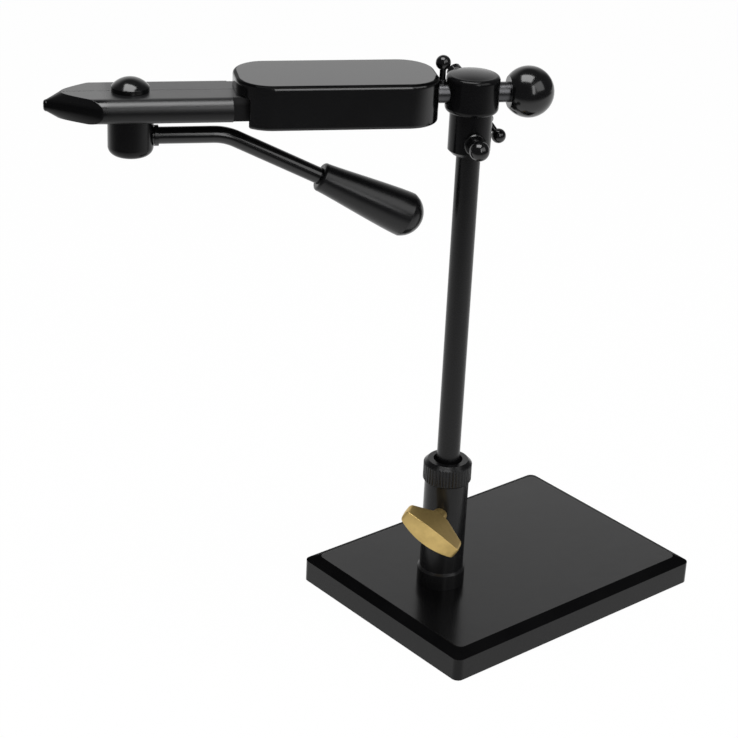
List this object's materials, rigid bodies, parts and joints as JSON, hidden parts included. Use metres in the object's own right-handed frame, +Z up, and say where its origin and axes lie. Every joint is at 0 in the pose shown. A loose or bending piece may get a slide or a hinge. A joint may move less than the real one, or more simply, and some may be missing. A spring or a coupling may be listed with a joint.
{
  "type": "fly tying vise",
  "caption": "Rotary fly tying vise on a flat pedestal: a round stem carries a turning jaw housing with tapered hook jaws, a cam lever that opens them and a ball knob.",
  "frame": {"origin": "where the stem's axis meets the table", "axes": "+Z up along the stem, the hook jaws point to -X, the ball knob to +X; the pedestal is turned about Z"},
  "size_m": [0.2742, 0.1516, 0.2417],
  "materials": {
    "base_black": "satin black powder coat",
    "turned_black": "satin black on turned metal",
    "jaw_black": "satin black oxide",
    "lever_black": "polished black oxide",
    "ring_grey": "dark turned steel",
    "inner_steel": "plain turned steel",
    "thumb_brass": "satin brass",
    "knob_black": "glossy black",
    "grip_black": "satin black"
  },
  "bodies": {
    "base": {"base_plate": "base_black", "base_screw": "inner_steel", "post_socket": "turned_black", "socket_collar": "turned_black"},
    "thumb_screw": {"thumb_screw": "thumb_brass"},
    "stem": {"post": "turned_black"},
    "head": {"head_block": "turned_black", "shaft_bush": "thumb_brass"},
    "rotation_lock": {"rotation_lock_screw": "lever_black"},
    "post_clamp": {"post_clamp_screw": "lever_black", "post_clamp_bar": "lever_black"},
    "front_set": {"front_set_screw": "lever_black"},
    "spacer_screw": {"spacer_ball_screw": "lever_black"},
    "arm": {"rotary_shaft": "inner_steel", "spacer_collar": "ring_grey", "knob_washer": "ring_grey", "ball_knob": "knob_black", "housing": "turned_black", "housing_cover": "turned_black", "cover_screws": "inner_steel", "shaft_grub_screw": "inner_steel", "jaw_pivots": "inner_steel", "jaw_spring": "inner_steel"},
    "front_jaw": {"front_jaw": "jaw_black"},
    "rear_jaw": {"rear_jaw": "jaw_black"},
    "lever": {"cam_pin": "lever_black", "lever_hub": "lever_black", "lever_rod": "lever_black", "lever_handle": "grip_black"}
  },
  "joints": [
    {"name": "thumb_screw_turn", "type": "hinge", "parent": "base", "child": "thumb_screw", "pos_m": [0, 0, 0.0479], "axis": [-0.4337, -0.9011, 0], "continuous": true},
    {"name": "stem_slide", "type": "slide", "parent": "base", "child": "stem", "axis": [0, 0, 1], "range_m": [0, 0.035]},
    {"name": "head_swivel", "type": "hinge", "parent": "stem", "child": "head", "pos_m": [0, 0, 0.21], "axis": [0, 0, 1], "continuous": true},
    {"name": "rotation_lock_turn", "type": "hinge", "parent": "head", "child": "rotation_lock", "pos_m": [0, 0, 0.2269], "axis": [0.3368, -0.8773, -0.342], "continuous": true},
    {"name": "post_clamp_turn", "type": "hinge", "parent": "head", "child": "post_clamp", "pos_m": [0, 0, 0.2125], "axis": [0.6428, 0.766, 0], "continuous": true},
    {"name": "front_set_turn", "type": "hinge", "parent": "head", "child": "front_set", "pos_m": [0, 0, 0.2091], "axis": [0, -1, 0], "continuous": true},
    {"name": "head_rotation", "type": "hinge", "parent": "head", "child": "arm", "pos_m": [0, 0, 0.2269], "axis": [1, 0, 0], "continuous": true},
    {"name": "spacer_screw_turn", "type": "hinge", "parent": "arm", "child": "spacer_screw", "pos_m": [-0.0121, 0, 0.2269], "axis": [0, 0, 1], "continuous": true},
    {"name": "lever_swing", "type": "hinge", "parent": "arm", "child": "lever", "pos_m": [-0.13, 0, 0.2149], "axis": [0, 0, -1], "range_deg": [0, 60]},
    {"name": "front_jaw_open", "type": "hinge", "parent": "arm", "child": "front_jaw", "pos_m": [-0.052, -0.0049, 0.2248], "axis": [0, 0, 1], "range_deg": [0, 1], "deforming": ["jaw_spring"]},
    {"name": "rear_jaw_open", "type": "hinge", "parent": "arm", "child": "rear_jaw", "pos_m": [-0.052, 0.0049, 0.2248], "axis": [0, 0, -1], "range_deg": [0, 1], "deforming": ["jaw_spring"]}
  ],
  "couplings": [
    {"joint": "front_jaw_open", "follows": "lever_swing", "ratio": 0.015915},
    {"joint": "rear_jaw_open", "follows": "lever_swing", "ratio": 0.015915}
  ]
}
